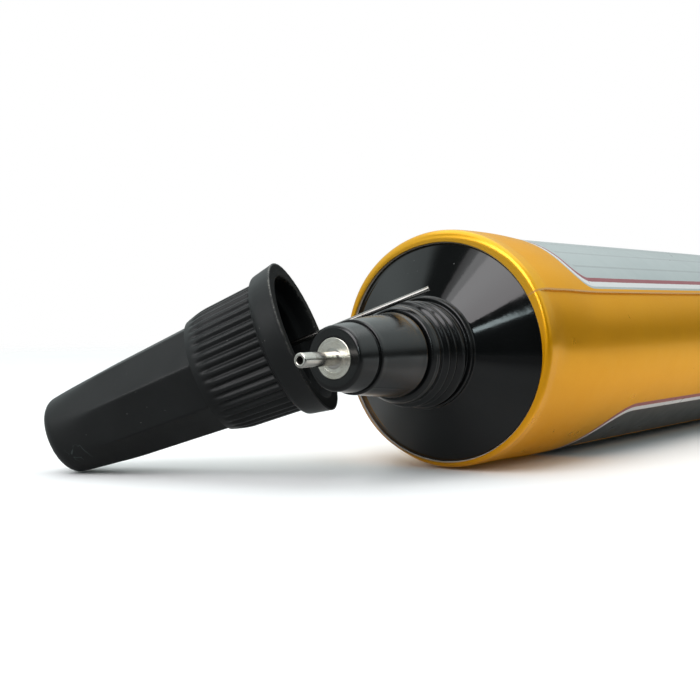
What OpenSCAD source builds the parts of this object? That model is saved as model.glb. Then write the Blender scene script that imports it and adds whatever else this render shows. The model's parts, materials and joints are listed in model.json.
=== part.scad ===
// Glue tube with a needle nozzle and a pin cap.
// The tube lies on its side, nozzle towards -X, tail seal flat on the table.
// The cap is off: its closed end is on the table, its pin lies over the nozzle.

/* [Sleeve] */
// Radius of the round front part of the sleeve
tube_r = 14.1; // [13.6:0.1:15]
// Length of the sleeve from its front lip to the tail
tube_len = 150; // [140:1:170]
// Length over which the filled sleeve stays round
round_len = 84; // [75:1:90]
// Thickness of the laminate
wall = 0.4; // [0.3:0.05:0.6]
// Length of the heat seal at the tail
seal_len = 9; // [6:0.5:12]
// Thickness of the heat seal
seal_t = 0.9; // [0.8:0.1:1.2]
// Radius of the rounded front edge of the sleeve
lip_round = 1.4; // [1.2:0.1:1.6]
// Radius at which the sleeve's front lip ends on the shoulder
lip_r = 13.3; // [13:0.1:13.4]
// How far the front edge's bead stands over the sleeve's upper side
lip_bead = 0.55; // [0.1:0.05:0.7]

/* [Shoulder and neck] */
// Radius of the plain ring at the foot of the neck
ring_r = 6.55; // [6.3:0.05:6.8]
// Distance of that ring's front edge from the sleeve's front
ring_x = 4.2; // [3.8:0.1:4.6]
// Distance of the neck's mouth from the sleeve's front
neck_x = 10.4; // [10:0.1:11]
// Radius of the neck between the thread ridges
root_r = 5.45; // [5.2:0.05:5.6]
// Radius over the thread ridges
crest_r = 6.1; // [5.9:0.05:6.2]
// Pitch of the thread
pitch = 1.5; // [1.3:0.05:1.6]
// Radius of the neck's bore
neck_bore_r = 3.9; // [3.6:0.1:4.1]

/* [Nozzle and needle] */
// Distance of the nozzle's front face from the sleeve's front
nozzle_x = 22; // [21:0.1:23]
// Radius of the nozzle where it meets the neck
nozzle_r = 4.85; // [4.7:0.05:5]
// Radius of the nozzle's smooth part at its front edge
nozzle_front_r = 4.1; // [4.02:0.02:4.3]
// Radius of the ferrule's face
ferrule_r = 2.22; // [2.1:0.02:2.4]
// Outer radius of the needle
needle_r = 0.8; // [0.7:0.05:0.9]
// Radius of the needle's bore
needle_bore_r = 0.4; // [0.36:0.02:0.45]
// Distance of the needle's tip from the sleeve's front
tip_x = 27.9; // [27:0.1:29]

/* [Cap] */
// Length of the cap from its mouth to its closed end
cap_len = 32.3; // [31.9:0.05:32.8]
// Radius of the cap's flange
flange_r = 9.05; // [8.8:0.05:9.2]
// Width of the flange
flange_w = 2.95; // [2.6:0.05:3.2]
// Radius over the collar at the flange
collar_r = 7.75; // [7.6:0.05:7.9]
// Radius over the collar where its far end starts to round off
collar_end_r = 7.35; // [7.2:0.05:7.5]
// Length of the collar
collar_len = 8.9; // [8.5:0.1:9.2]
// Corner radius of the eight-sided body at the collar
body_r = 6.7; // [6.5:0.05:6.75]
// Corner radius of the eight-sided body at its closed end
body_end_r = 5.15; // [5.05:0.05:5.4]
// Radius of the steel pin
pin_r = 0.325; // [0.3:0.005:0.35]
// Length of the pin that stands out of the cap's mouth
pin_out = 15.3; // [14:0.1:16]

/* [Hidden] */
$fn = 96;

// ---- where the loose cap lies, from the tube's axis at the sleeve's front ----
cap_pos = [-14.97, 9.18, 2.08];
cap_polar = 67.55;
cap_turn = -66.05;
cap_roll = 32;
// the pin leans in its socket towards the table
pin_lean = 0.65;
cap_dir = [sin(cap_polar) * cos(cap_turn), sin(cap_polar) * sin(cap_turn), cos(cap_polar)];

// ---- the part's own frame: middle of its footprint, on the table ----
function spread(r, k) = r * sqrt(1 - cap_dir[k] * cap_dir[k]);
end_ring = 2.95;
end_round = 1.8;
end_c = cap_pos - (cap_len - end_round - 0.1) * cap_dir;
x_low = min(-tip_x, end_c[0] - spread(end_ring, 0) - end_round);
x_high = tube_len;
y_low = -flat_w(seal_t / 2);
y_high = end_c[1] + spread(end_ring, 1) + end_round;
shift = [-(x_low + x_high) / 2, -(y_low + y_high) / 2, tube_r];

// ---- the filled sleeve: equal girth all along, flattening to the tail ----
seal_x = tube_len - seal_len;
bend = 0.4;
bend_k = 1 / (2 * bend - bend * bend);
function flatten(u) = u <= 0 ? 0 : u < bend ? bend_k * u * u
    : bend_k * bend * bend + 2 * bend_k * bend * (u - bend);
function high(s) = s >= seal_x ? seal_t
    : let (g = flatten((s - round_len) / (seal_x - round_len)))
      2 * tube_r * (1 - g) + seal_t * g;
function flat_w(b) = let (q = 1 - b / tube_r)
    tube_r * (1 + (PI / 2 - 1) * (1.75 * q - 0.75 * q * q));
function held(v) = max(-1, min(1, v));
sides = 48;
// one ring of the sleeve at s, drawn in by d all round
function ring(s, d) = let (b = high(s) / 2, a = flat_w(b), e = s >= seal_x)
    [for (k = [0:sides - 1]) let (t = 360 * k / sides)
        [s, (a - d) * cos(t), -tube_r + b + max(b - d, 0.05) * (e ? held(3 * sin(t)) : sin(t))]];
// a ring of the rounded front edge
function lip_ring(x, r) = [for (k = [0:sides - 1]) let (t = 360 * k / sides)
    [x, r * cos(t), r * sin(t)]];

lip_c = tube_r - lip_round;
lip_a = acos((lip_r - lip_c) / lip_round);
lip_steps = 5;
function lip_x(rad, a) = lip_round - rad * sin(a);
function lip_rad(rad, a) = lip_c + rad * cos(a);
// the bead: full on the upper side, none underneath, running out behind the shoulder's skirt
function crown(t) = let (q = max(0, min(1, (sin(t) + 0.25) / 0.7))) q * q * (3 - 2 * q);
function bead(s) = lip_bead * lookup(s, [[0, 0.95], [5, 1], [9, 0.79], [12.5, 0.36], [17, 0]]);
function bead_ring(x, r, k) = [for (i = [0:sides - 1]) let (t = 360 * i / sides, q = r + k * bead(x) * crown(t))
    [x, q * cos(t), q * sin(t)]];

function span(from, to, n) = [for (i = [0:n]) from + (to - from) * i / n];
back = span(round_len, seal_x - 1.2, 12);
outer_rings = concat(
    [for (i = [0:lip_steps]) let (a = lip_a * (1 - i / lip_steps))
        bead_ring(lip_x(lip_round, a), lip_rad(lip_round, a), i / lip_steps)],
    [for (s = [5, 9, 12.5]) bead_ring(s, tube_r, 1)],
    [for (s = concat([17, 40, 62], back, [seal_x, tube_len])) ring(s, 0)]);
inner_rings = concat(
    [for (i = [0:lip_steps]) let (a = lip_a * (1 - i / lip_steps))
        lip_ring(lip_x(lip_round - wall, a), lip_rad(lip_round - wall, a))],
    [for (s = concat([40, 62], back)) ring(s, wall)]);
fill_rings = concat(
    [lip_ring(7.4, tube_r - wall - 0.12)],
    [for (s = concat([40, 62], [for (i = [0:11]) back[i]])) ring(s, wall + 0.12)]);

// faces of a skin over rings first..last; turned says which way it looks
function skin(first, count, turned) = [for (i = [0:count - 2], k = [0:sides - 1])
    let (a = (first + i) * sides + k, b = (first + i) * sides + (k + 1) % sides,
         c = b + sides, d = a + sides)
    each turned ? [[a, b, c], [a, c, d]] : [[a, c, b], [a, d, c]]];
function lid(i, turned) = [let (r = [for (k = [0:sides - 1]) i * sides + k])
    turned ? r : [for (k = [sides - 1:-1:0]) r[k]]];
// the tail's end face, closed in strips from edge to edge
function strip_lid(i) = let (f = i * sides, h = sides / 2) concat(
    [[f, f + sides - 1, f + 1], [f + h, f + h - 1, f + h + 1]],
    [for (k = [1:h - 2]) each [[f + k, f + sides - k - 1, f + k + 1], [f + k, f + sides - k, f + sides - k - 1]]]);
function flat(list) = [for (l = list) each l];

// ---- thread ridge: one swept ridge of trapezoid section ----
steps = 28;
// in_r is buried, out_r is the ridge's top; it fades at both ends
function ridge_pts(in_r, out_r, x0, turns, foot, top) = [for (i = [0:turns * steps])
    let (t = i / steps, a = 360 * t, x = x0 + pitch * t,
         f = min(1, t / 0.3, (turns - t) / 0.3), g = 0.12 + 0.88 * f,
         r1 = in_r + (out_r - in_r) * g)
    each [[in_r * cos(a), in_r * sin(a), x - foot / 2], [r1 * cos(a), r1 * sin(a), x - top / 2],
          [r1 * cos(a), r1 * sin(a), x + top / 2], [in_r * cos(a), in_r * sin(a), x + foot / 2]]];
function ridge_faces(n, turned) = concat(
    [for (i = [0:n - 1], k = [0:3])
        let (a = 4 * i + k, b = 4 * i + (k + 1) % 4, c = b + 4, d = a + 4)
        each turned ? [[a, b, c], [a, c, d]] : [[a, c, b], [a, d, c]]],
    turned ? [[3, 2, 1, 0], [4 * n, 4 * n + 1, 4 * n + 2, 4 * n + 3]]
           : [[0, 1, 2, 3], [4 * n + 3, 4 * n + 2, 4 * n + 1, 4 * n]]);
module ridge(in_r, out_r, x0, turns, foot, top, turned)
    polyhedron(ridge_pts(in_r, out_r, x0, turns, foot, top), ridge_faces(turns * steps, turned));

// ---- placing ----
// lathe profiles are drawn as [radius, distance along +X]
module lathe() translate(shift) rotate([0, 90, 0]) rotate_extrude() children();
module lay_cap() translate(shift + cap_pos) rotate([0, cap_polar, cap_turn]) rotate([0, 0, cap_roll]) children();
function arc(c, r, from, to, n) = [for (i = [0:n]) let (a = from + (to - from) * i / n)
    [c[0] + r * cos(a), c[1] + r * sin(a)]];

// ---- sub-parts ----
module tube_sleeve() {
    no = len(outer_rings); ni = len(inner_rings);
    color([0.72, 0.55, 0.25]) translate(shift) polyhedron(
        flat(concat(outer_rings, inner_rings)),
        concat(skin(0, no, false), skin(no, ni, true),
            [for (k = [0:sides - 1]) let (a = k, b = (k + 1) % sides, c = b + no * sides, d = a + no * sides)
                each [[a, b, c], [a, c, d]]],
            strip_lid(no - 1), lid(no + ni - 1, true)));
}

skirt_r = tube_r - wall - 0.06;
module shoulder() color([0.05, 0.05, 0.055]) {
    lathe() polygon(concat(
        [[neck_bore_r, -neck_x], [root_r - 0.45, -neck_x], [root_r - 0.1, -neck_x + 0.3],
         [root_r, -neck_x + 0.6], [root_r, -ring_x], [ring_r - 0.15, -ring_x],
         [ring_r, -ring_x + 0.15], [ring_r, -ring_x + 0.75]],
        arc([ring_r + 0.35, -ring_x + 0.55], 0.35, 170, 120, 3),
        [[lip_r - 0.25, 0.5]],
        arc([lip_c, lip_round + 0.05], lip_round - wall - 0.08, -38, 0, 5),
        [[skirt_r, 7], [skirt_r - 0.9, 7], [skirt_r - 1.1, 2.3],
         [neck_bore_r + 1.6, -ring_x + 1.75], [neck_bore_r, -ring_x + 1]]));
    translate(shift) rotate([0, 90, 0])
        ridge(root_r - 0.3, crest_r, -neck_x + 1.05, 3, 1.15, 0.4, true);
}

module barrier_insert() color([0.75, 0.75, 0.72]) lathe()
    polygon([[neck_bore_r + 1.75, -ring_x + 1.95], [skirt_r - 1.25, 2.5], [skirt_r - 1.25, 2.95],
             [neck_bore_r + 1.75, -ring_x + 2.4]]);

stem_r = neck_bore_r - 0.02;
ferrule_stem = 1.5;
shank_r = 1.1;
module nozzle() color([0.06, 0.06, 0.065]) lathe() polygon(concat(
    [[ferrule_r + 0.02, -nozzle_x]],
    arc([3.1, -nozzle_x + 0.45], 0.45, -90, -8, 6),
    [[3.82, -nozzle_x + 3.0], [3.7, -nozzle_x + 3.2], [3.7, -nozzle_x + 3.35],
     [nozzle_front_r - 0.16, -nozzle_x + 3.35]],
    arc([nozzle_front_r - 0.16, -nozzle_x + 3.51], 0.16, -60, 0, 3),
    [[nozzle_r, -neck_x - 0.4], [nozzle_r - 0.3, -neck_x - 0.12], [stem_r, -neck_x - 0.12],
     [stem_r, -ring_x + 0.4], [stem_r - 0.3, -ring_x + 0.7], [1.6, -ring_x + 0.7],
     [1.6, -nozzle_x + 6.4], [ferrule_stem + 0.02, -nozzle_x + 6.4],
     [ferrule_stem + 0.02, -nozzle_x + 2.6], [ferrule_r + 0.02, -nozzle_x + 2.6]]));

module ferrule() color([0.8, 0.79, 0.76]) lathe() polygon(
    [[shank_r + 0.015, -nozzle_x - 0.06], [ferrule_r - 0.12, -nozzle_x - 0.06], [ferrule_r, -nozzle_x + 0.06],
     [ferrule_r, -nozzle_x + 2.58], [ferrule_stem, -nozzle_x + 2.58], [ferrule_stem, -nozzle_x + 6.3],
     [shank_r + 0.015, -nozzle_x + 6.3]]);

module needle() color([0.78, 0.77, 0.74]) lathe() polygon(concat(
    [[needle_bore_r, -tip_x + 0.05], [needle_bore_r + 0.08, -tip_x]],
    arc([needle_r - 0.22, -tip_x + 0.22], 0.22, -90, 0, 5),
    [[needle_r, -nozzle_x - 0.06], [shank_r, -nozzle_x - 0.06], [shank_r, -nozzle_x + 6.3],
     [needle_bore_r, -nozzle_x + 6.3]]));

module adhesive() {
    n = len(fill_rings);
    color([0.86, 0.83, 0.72, 0.8]) translate(shift) polyhedron(flat(fill_rings),
        concat(skin(0, n, false), lid(0, true), lid(n - 1, false)));
}

// the cap's own axis is +Z out of its mouth, the mouth's rim at Z = 0
collar_z = -flange_w - collar_len;
module cap_shell() {
    rotate_extrude() polygon(concat(
        [[0, -0.1], [flange_r - 0.35, 0]],
        arc([flange_r - 0.35, -0.35], 0.35, 90, 0, 4),
        arc([flange_r - 1.3, -1.35], 1.3, 0, -48, 5),
        [[collar_r + 0.12, -flange_w - 0.05], [collar_r, -flange_w - 0.3]],
        [for (i = [0:6]) let (a = 15 * i) [collar_end_r - 0.6 * (1 - cos(a)), collar_z + 2.55 * (1 - sin(a))]],
        [[0, collar_z]]));
    intersection() {
        translate([0, 0, -cap_len]) cylinder(r1 = body_end_r, r2 = body_r, h = cap_len + collar_z + 0.4, $fn = 8);
        rotate_extrude() polygon(concat([[0, -cap_len]],
            arc([end_ring, -cap_len + end_round + 0.1], end_round, -84, -10, 8), [[body_r + 1, collar_z + 1], [0, collar_z + 1]]));
    }
}
socket_w = 26.5;
socket_r = pin_r + 0.075;
module cap_cavity() rotate_extrude() polygon(
    [[0, 0.2], [7.45, 0.2], [7.3, -0.4], [7.2, -1.7], [6.35, -2.2], [6.35, -8.6], [5.15, -9.1],
     [4.6, -17.4], [4.25, -17.6], [4.15, -20.1], [1.35, -20.4], [1.25, -socket_w], [socket_r, -socket_w],
     [socket_r, -socket_w - 3], [0, -socket_w - 3]]);
module cap() color([0.09, 0.09, 0.09]) lay_cap() {
    difference() { cap_shell(); cap_cavity(); }
    ridge(6.6, 5.75, -7.6, 3, 1.1, 0.4, false);
}

module cap_pin() color([0.7, 0.68, 0.63]) lay_cap()
    translate([0, 0, -socket_w - 1.5]) rotate([0, 0, -cap_roll]) rotate([0, pin_lean, 0])
        translate([0, 0, -1.45]) cylinder(r = pin_r, h = 1.45 + 1.5 + socket_w + pin_out);

tube_sleeve();
shoulder();
barrier_insert();
nozzle();
ferrule();
needle();
adhesive();
cap();
cap_pin();
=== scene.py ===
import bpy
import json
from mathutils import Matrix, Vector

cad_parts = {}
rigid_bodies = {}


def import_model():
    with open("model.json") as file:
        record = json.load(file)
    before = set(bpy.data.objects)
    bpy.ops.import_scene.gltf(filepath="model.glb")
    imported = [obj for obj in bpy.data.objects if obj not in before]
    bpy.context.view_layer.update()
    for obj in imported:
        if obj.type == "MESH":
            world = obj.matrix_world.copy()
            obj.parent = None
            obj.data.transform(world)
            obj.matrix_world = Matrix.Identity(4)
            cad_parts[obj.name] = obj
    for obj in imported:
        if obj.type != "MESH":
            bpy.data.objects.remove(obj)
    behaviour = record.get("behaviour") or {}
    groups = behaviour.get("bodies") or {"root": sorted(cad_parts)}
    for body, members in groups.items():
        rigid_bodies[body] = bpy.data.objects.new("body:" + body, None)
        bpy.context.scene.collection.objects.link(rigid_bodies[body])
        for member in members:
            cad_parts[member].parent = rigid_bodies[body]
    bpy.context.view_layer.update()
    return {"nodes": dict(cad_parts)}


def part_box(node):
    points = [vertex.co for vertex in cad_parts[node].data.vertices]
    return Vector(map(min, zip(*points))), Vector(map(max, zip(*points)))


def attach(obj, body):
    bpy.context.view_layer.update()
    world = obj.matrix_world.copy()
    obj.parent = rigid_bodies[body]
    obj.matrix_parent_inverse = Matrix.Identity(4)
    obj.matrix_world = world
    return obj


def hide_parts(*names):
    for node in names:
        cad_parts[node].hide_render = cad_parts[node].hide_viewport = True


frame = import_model()

import json
import math

import bmesh
import bpy
import numpy as np
from mathutils import Matrix, Vector

MM = 0.001
TAU = 2 * math.pi

# ------------------------------------------------------------------ frame
# The tube's own frame has X along its axis from the sleeve's front edge.
_lo, _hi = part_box("needle")
SHIFT = np.array([_lo.x / MM + 27.9, (_lo.y + _hi.y) / 2 / MM, (_lo.z + _hi.z) / 2 / MM])

# The loose cap: +Z out of its mouth, the rim at Z = 0.
CAP_AT = SHIFT + np.array([-14.97, 9.18, 2.08])
CAP_ROT = np.array(
    Matrix.Rotation(math.radians(-66.05), 3, "Z")
    @ Matrix.Rotation(math.radians(67.55), 3, "Y")
    @ Matrix.Rotation(math.radians(32.0), 3, "Z")
)
# The pin leans a little in the cap's socket: +Z along the wire, from its seat.
PIN_AT = np.array([0.0, 0.0, -28.0])
PIN_ROT = np.array(
    Matrix.Rotation(math.radians(-32.0), 3, "Z")
    @ Matrix.Rotation(math.radians(0.65), 3, "Y")
)


def on_tube(p):
    return (np.asarray(p, float) + SHIFT) * MM


def on_cap(p):
    return (np.asarray(p, float) @ CAP_ROT.T + CAP_AT) * MM


# ----------------------------------------------------------------- camera
def look_axes(az, el):
    az, el = math.radians(az), math.radians(el)
    d = Vector((math.cos(el) * math.cos(az), math.cos(el) * math.sin(az), math.sin(el)))
    r = d.cross(Vector((0, 0, 1))).normalized()
    return d, r, r.cross(d)


LOOK, RIGHT, UP = look_axes(35.1601, -2.0704)
cam_data = bpy.data.cameras.new("camera")
cam_data.sensor_fit = "HORIZONTAL"
cam_data.sensor_width = 36.0
cam_data.lens = 36.0 * 1300.0 / 700.0
cam_data.clip_start = 0.005
cam_data.clip_end = 50.0
camera = bpy.data.objects.new("camera", cam_data)
bpy.context.scene.collection.objects.link(camera)
eye = (Vector(SHIFT) - (10.92566 * RIGHT - 0.24162 * UP + 155.1722 * LOOK)) * MM
camera.matrix_world = Matrix(
    (
        (RIGHT.x, UP.x, -LOOK.x, eye.x),
        (RIGHT.y, UP.y, -LOOK.y, eye.y),
        (RIGHT.z, UP.z, -LOOK.z, eye.z),
        (0, 0, 0, 1),
    )
)
bpy.context.scene.camera = camera
bpy.context.scene.view_settings.view_transform = "Standard"


# ------------------------------------------------------------ mesh helpers
def smooth(a, b, x):
    t = np.clip((np.asarray(x, float) - a) / (b - a), 0.0, 1.0)
    return t * t * (3 - 2 * t)


def fillet(points, n=6):
    """(r, x, radius) corners to a polyline with rounded corners."""
    out = []
    for i, (a, b, rad) in enumerate(points):
        p = np.array([a, b], float)
        if rad <= 0 or i in (0, len(points) - 1):
            out.append(p)
            continue
        p0, p1 = (np.array(points[k][:2], float) for k in (i - 1, i + 1))
        l0, l1 = np.linalg.norm(p0 - p), np.linalg.norm(p1 - p)
        u, v = (p0 - p) / l0, (p1 - p) / l1
        ang = math.acos(float(np.clip(u @ v, -1, 1)))
        if ang > math.pi - 0.02:
            out.append(p)
            continue
        t = min(rad / math.tan(ang / 2), 0.48 * l0, 0.48 * l1)
        rr = t * math.tan(ang / 2)
        c = p + (u + v) / np.linalg.norm(u + v) * rr / math.sin(ang / 2)
        s, e = p + u * t - c, p + v * t - c
        a0 = math.atan2(s[1], s[0])
        d = (math.atan2(e[1], e[0]) - a0 + math.pi) % TAU - math.pi
        out += [c + rr * np.array([math.cos(a0 + d * k / n), math.sin(a0 + d * k / n)]) for k in range(n + 1)]
    return np.array(out)


def refine(poly, step):
    """No segment longer than step."""
    out = [poly[0]]
    for p, q in zip(poly[:-1], poly[1:]):
        k = max(1, int(math.ceil(np.linalg.norm(q - p) / step - 1e-9)))
        out += [p + (q - p) * i / k for i in range(1, k + 1)]
    return np.array(out)


def piece(name, rings, body, nodes, loop=False, start=None, end=None, sharp=34.0, uv=None, attrs=None, weld=False):
    """A closed skin over rings of equal count, with optional pole points."""
    rings = np.asarray(rings, float)
    m, n = rings.shape[:2]
    verts = rings.reshape(-1, 3)
    extra = []
    quads = []
    rows = m if loop else m - 1
    i, j = np.meshgrid(np.arange(rows), np.arange(n), indexing="ij")
    i2, j2 = (i + 1) % m, (j + 1) % n
    q = np.stack([i * n + j, i * n + j2, i2 * n + j2, i2 * n + j], -1).reshape(-1, 4)
    quads = q
    tris = []
    if start is not None:
        k = len(verts) + len(extra)
        extra.append(start)
        tris += [[k, (c + 1) % n, c] for c in range(n)]
    if end is not None:
        k = len(verts) + len(extra)
        extra.append(end)
        o = (m - 1) * n
        tris += [[k, o + c, o + (c + 1) % n] for c in range(n)]
    if extra:
        verts = np.vstack([verts, np.array(extra, float)])
    tris = np.array(tris, int).reshape(-1, 3)
    mid = verts.mean(0)

    def vol(a, b, c):
        return float(np.einsum("ij,ij->i", np.cross(verts[a] - mid, verts[b] - mid), verts[c] - mid).sum())

    v = vol(quads[:, 0], quads[:, 1], quads[:, 2]) + vol(quads[:, 0], quads[:, 2], quads[:, 3])
    if len(tris):
        v += vol(tris[:, 0], tris[:, 1], tris[:, 2])
    flip = v < 0
    uvs = None
    if uv is not None:
        across, along = uv
        across2 = np.append(across, across[0] + (across[1] - across[0]) * 0 + uv_wrap)
        a = np.stack([across2[j], across2[j + 1], across2[j + 1], across2[j]], -1).reshape(-1, 4)
        b = np.stack([along[i], along[i], along[i2], along[i2]], -1).reshape(-1, 4)
        uvs = np.stack([a, b], -1)
    if flip:
        quads = quads[:, ::-1]
        tris = tris[:, ::-1]
        if uvs is not None:
            uvs = uvs[:, ::-1]
    mesh = bpy.data.meshes.new(name)
    mesh.from_pydata(verts.tolist(), [], quads.tolist() + tris.tolist())
    if uvs is not None:
        layer = mesh.uv_layers.new(name="lay")
        layer.data.foreach_set("uv", uvs.reshape(-1).astype(np.float32))
    for key, values in (attrs or {}).items():
        values = np.asarray(values, float).reshape(-1)
        values = np.concatenate([values, np.zeros(len(verts) - len(values))])
        at = mesh.attributes.new(key, "FLOAT", "POINT")
        at.data.foreach_set("value", values.astype(np.float32))
    mesh.validate()
    bm = bmesh.new()
    bm.from_mesh(mesh)
    if weld:
        bmesh.ops.remove_doubles(bm, verts=bm.verts, dist=2e-7)
        bmesh.ops.dissolve_degenerate(bm, edges=bm.edges, dist=1e-8)
    lim = math.radians(sharp)
    for f in bm.faces:
        f.smooth = True
    for e in bm.edges:
        e.smooth = len(e.link_faces) != 2 or e.calc_face_angle(0.0) < lim
    bm.to_mesh(mesh)
    bm.free()
    obj = bpy.data.objects.new(name, mesh)
    bpy.context.scene.collection.objects.link(obj)
    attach(obj, body)
    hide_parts(*nodes)
    return obj


def turned(profile, n, place, move=None):
    """Rings of a lathe profile [(r, x)]; move(r, x, t) may change a ring's radius and place."""
    t = np.arange(n) * TAU / n
    rings = []
    for r, x in profile:
        rr, xx = np.full(n, r), np.full(n, x)
        if move is not None:
            rr, xx = move(rr, xx, t)
        rings.append(place(rr, xx, t))
    return np.array(rings)


def tube_place(r, x, t):
    return on_tube(np.stack([x, r * np.cos(t), r * np.sin(t)], -1))


def cap_place(r, z, t):
    return on_cap(np.stack([r * np.cos(t), r * np.sin(t), z], -1))


def on_pin(p):
    return on_cap(np.asarray(p, float) @ PIN_ROT.T + PIN_AT)


def pin_place(r, z, t):
    return on_pin(np.stack([r * np.cos(t), r * np.sin(t), z], -1))


def wavy(x, y, seed):
    """A smooth repeatable ripple from a few sines, about -1 to 1."""
    out = 0.0
    for k in range(5):
        a = seed * 1.37 + k * 2.11
        out = out + np.sin(x * math.cos(a) * (1 + 0.45 * k) + y * math.sin(a) * (1 + 0.45 * k) + a * 3.1) / (1 + 0.5 * k)
    return out / 2.6


# ---------------------------------------------------------------- shaders
class Shade:
    """A material with short calls for its nodes."""

    def __init__(self, name):
        self.m = bpy.data.materials.new(name)
        self.m.use_nodes = True
        self.t = self.m.node_tree
        self.b = next(n for n in self.t.nodes if n.type == "BSDF_PRINCIPLED")
        self.co = self.new("ShaderNodeTexCoord").outputs["Object"]

    def new(self, kind, **props):
        n = self.t.nodes.new(kind)
        for k, v in props.items():
            setattr(n, k, v)
        return n

    def put(self, socket, value):
        if isinstance(value, bpy.types.NodeSocket):
            self.t.links.new(value, socket)
        else:
            socket.default_value = value

    def math(self, op, a, b=None, c=None):
        n = self.new("ShaderNodeMath", operation=op)
        self.put(n.inputs[0], a)
        if b is not None:
            self.put(n.inputs[1], b)
        if c is not None:
            self.put(n.inputs[2], c)
        return n.outputs[0]

    def span(self, x, a, b, lo=0.0, hi=1.0, kind="SMOOTHSTEP"):
        n = self.new("ShaderNodeMapRange", interpolation_type=kind)
        for key, v in (("Value", x), ("From Min", a), ("From Max", b), ("To Min", lo), ("To Max", hi)):
            self.put(n.inputs[key], v)
        return n.outputs["Result"]

    def scaled(self, sx, sy, sz, turn=(0, 0, 0), co=None):
        n = self.new("ShaderNodeMapping")
        self.put(n.inputs["Vector"], co or self.co)
        n.inputs["Rotation"].default_value = turn
        n.inputs["Scale"].default_value = (sx, sy, sz)
        return n.outputs["Vector"]

    def noise(self, scale, detail=3.0, rough=0.55, co=None, distort=0.0):
        n = self.new("ShaderNodeTexNoise")
        self.put(n.inputs["Vector"], co or self.co)
        n.inputs["Scale"].default_value = scale
        n.inputs["Detail"].default_value = detail
        n.inputs["Roughness"].default_value = rough
        n.inputs["Distortion"].default_value = distort
        return n.outputs["Fac"]

    def specks(self, scale, size, share, co=None):
        """Sparse round specks: 1 inside a speck."""
        n = self.new("ShaderNodeTexVoronoi", feature="F1")
        self.put(n.inputs["Vector"], co or self.co)
        n.inputs["Scale"].default_value = scale
        near = self.span(n.outputs["Distance"], size * 0.6, size, 1.0, 0.0)
        pick = self.new("ShaderNodeSeparateColor")
        self.put(pick.inputs[0], n.outputs["Color"])
        chosen = self.math("GREATER_THAN", pick.outputs[0], 1.0 - share)
        return self.math("MULTIPLY", near, chosen)

    def mix(self, f, a, b):
        n = self.new("ShaderNodeMix", data_type="RGBA")
        self.put(n.inputs[0], f)
        self.put(n.inputs[6], a)
        self.put(n.inputs[7], b)
        return n.outputs[2]

    def mixf(self, f, a, b):
        n = self.new("ShaderNodeMix", data_type="FLOAT")
        self.put(n.inputs[0], f)
        self.put(n.inputs[2], a)
        self.put(n.inputs[3], b)
        return n.outputs[0]

    def attr(self, name):
        return self.new("ShaderNodeAttribute", attribute_name=name).outputs["Fac"]

    def bump(self, height, distance, strength=1.0, normal=None):
        n = self.new("ShaderNodeBump")
        n.inputs["Strength"].default_value = strength
        n.inputs["Distance"].default_value = distance
        self.put(n.inputs["Height"], height)
        if normal is not None:
            self.put(n.inputs["Normal"], normal)
        return n.outputs["Normal"]

    def set(self, **kw):
        for key, v in kw.items():
            self.put(self.b.inputs[key.replace("_", " ")], v)
        return self


def rgb(r, g, b):
    return (r, g, b, 1.0)


def black_plastic(name, base, rough, spread, grain, grain_h, dust, spec, matt=0.0, wear_and_sheen=False, scuff=False):
    s = Shade(name)
    cloud = s.noise(140.0, 4.0)
    fine = s.noise(grain, 2.0, 0.6)
    # sparse dust, a tenth of a millimetre across
    speck = s.specks(1250.0, 0.07, dust)
    speck2 = s.specks(640.0, 0.06, dust, co=s.scaled(1, 1, 1, (0.4, 0.7, 0.2)))
    spots = s.math("MAXIMUM", speck, speck2)
    tone = s.mix(s.span(cloud, 0.3, 0.7), rgb(*[c * 0.8 for c in base]), rgb(*[c * 1.22 for c in base]))
    tone = s.mix(s.math("MULTIPLY", spots, 0.5), tone, rgb(0.22, 0.22, 0.21))
    r = s.span(s.noise(330.0, 5.0), 0.25, 0.75, rough - spread, rough + spread)
    # fine hairline rubs
    hair = s.noise(260.0, 3.0, 0.7, co=s.scaled(1.0, 9.0, 9.0, (0.3, 0.5, 0.9)))
    rub = s.span(hair, 0.66, 0.72)
    r = s.math("ADD", r, s.math("MULTIPLY", rub, 0.05))
    r = s.math("ADD", r, s.math("MULTIPLY", spots, 0.3))
    if matt:
        r = s.math("ADD", r, s.math("MULTIPLY", s.attr("matt"), matt))
    height = s.math("ADD", fine, s.math("MULTIPLY", spots, 2.0))
    if wear_and_sheen:
        # light worn flecks: partly real wear, partly a painted highlight, since the cap weights them to its upper side
        w = s.attr("wear_and_sheen")
        worn_and_sheen = s.math("MULTIPLY", w, s.span(s.noise(1900.0, 4.0, 0.75), 0.44, 0.6))
        tone = s.mix(s.math("MULTIPLY", worn_and_sheen, 0.8), tone, rgb(0.20, 0.19, 0.172))
        r = s.math("ADD", r, s.math("MULTIPLY", worn_and_sheen, 0.12))
    if scuff:
        # thin curled scratches where the closed end has been knocked
        line = s.math("ABSOLUTE", s.math("SUBTRACT", s.noise(430.0, 1.0, 0.5, distort=1.2), 0.5))
        mark = s.math("MULTIPLY", s.attr("scuff"), s.span(line, 0.010, 0.026, 1.0, 0.0))
        tone = s.mix(s.math("MULTIPLY", mark, 0.6), tone, rgb(0.075, 0.095, 0.092))
        height = s.math("SUBTRACT", height, s.math("MULTIPLY", mark, 1.2))
    s.set(Base_Color=tone, Roughness=r, Normal=s.bump(height, grain_h, 0.6))
    s.b.inputs["IOR"].default_value = 1.5
    if wear_and_sheen:
        s.set(Specular_IOR_Level=s.span(s.attr("matt"), 0.0, 1.0, spec, spec * 0.35))
    else:
        s.b.inputs["Specular IOR Level"].default_value = spec
    return s.m


# ------------------------------------------------------------------ sleeve
R = 14.1
SEAL_X, TAIL_X = 141.0, 150.0
GIRTH = TAU * R
SEAM = 2.0 / 3.0  # share of the girth from underneath, round the far side


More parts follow.
